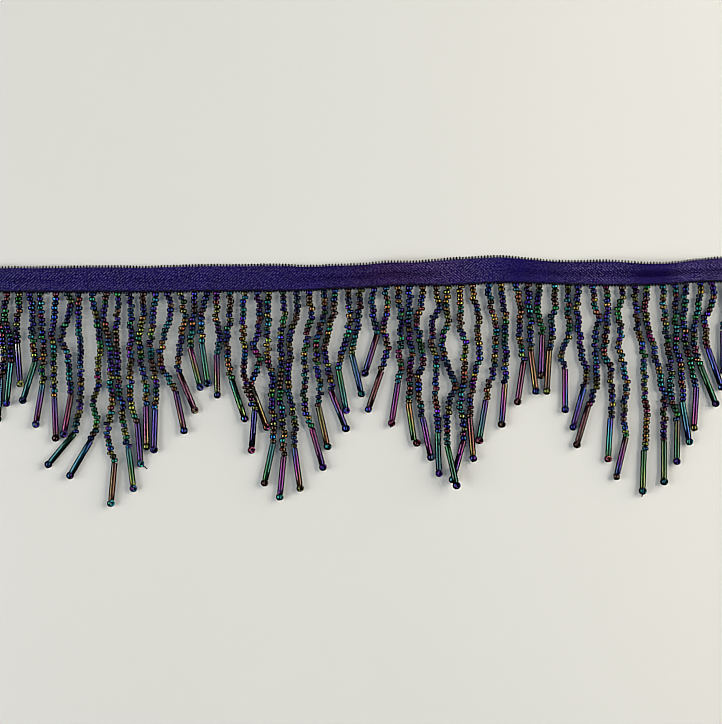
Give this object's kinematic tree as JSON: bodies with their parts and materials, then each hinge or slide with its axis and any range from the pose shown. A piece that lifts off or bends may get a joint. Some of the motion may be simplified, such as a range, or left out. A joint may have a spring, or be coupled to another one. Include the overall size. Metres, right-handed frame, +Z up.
{
  "type": "beaded fringe trim",
  "caption": "Narrow dark satin ribbon with a scalloped fringe of iridescent seed beads and bugle beads, laid flat.",
  "frame": {"origin": "on the underside of the ribbon, half way along its length, at its flat sewing margin", "axes": "+X along the ribbon, +Y from the fringe towards the ribbon's free edge, +Z up from the surface it lies on"},
  "size_m": [0.268, 0.0893, 0.0054],
  "materials": {
    "ribbon": "dark indigo satin with a fine twill",
    "beads": "opaque dark glass with an iridescent blue, green, gold and purple coat",
    "thread": "dark twisted thread"
  },
  "bodies": {
    "root": {"ribbon": "ribbon", "fringe": "beads"}
  },
  "joints": []
}
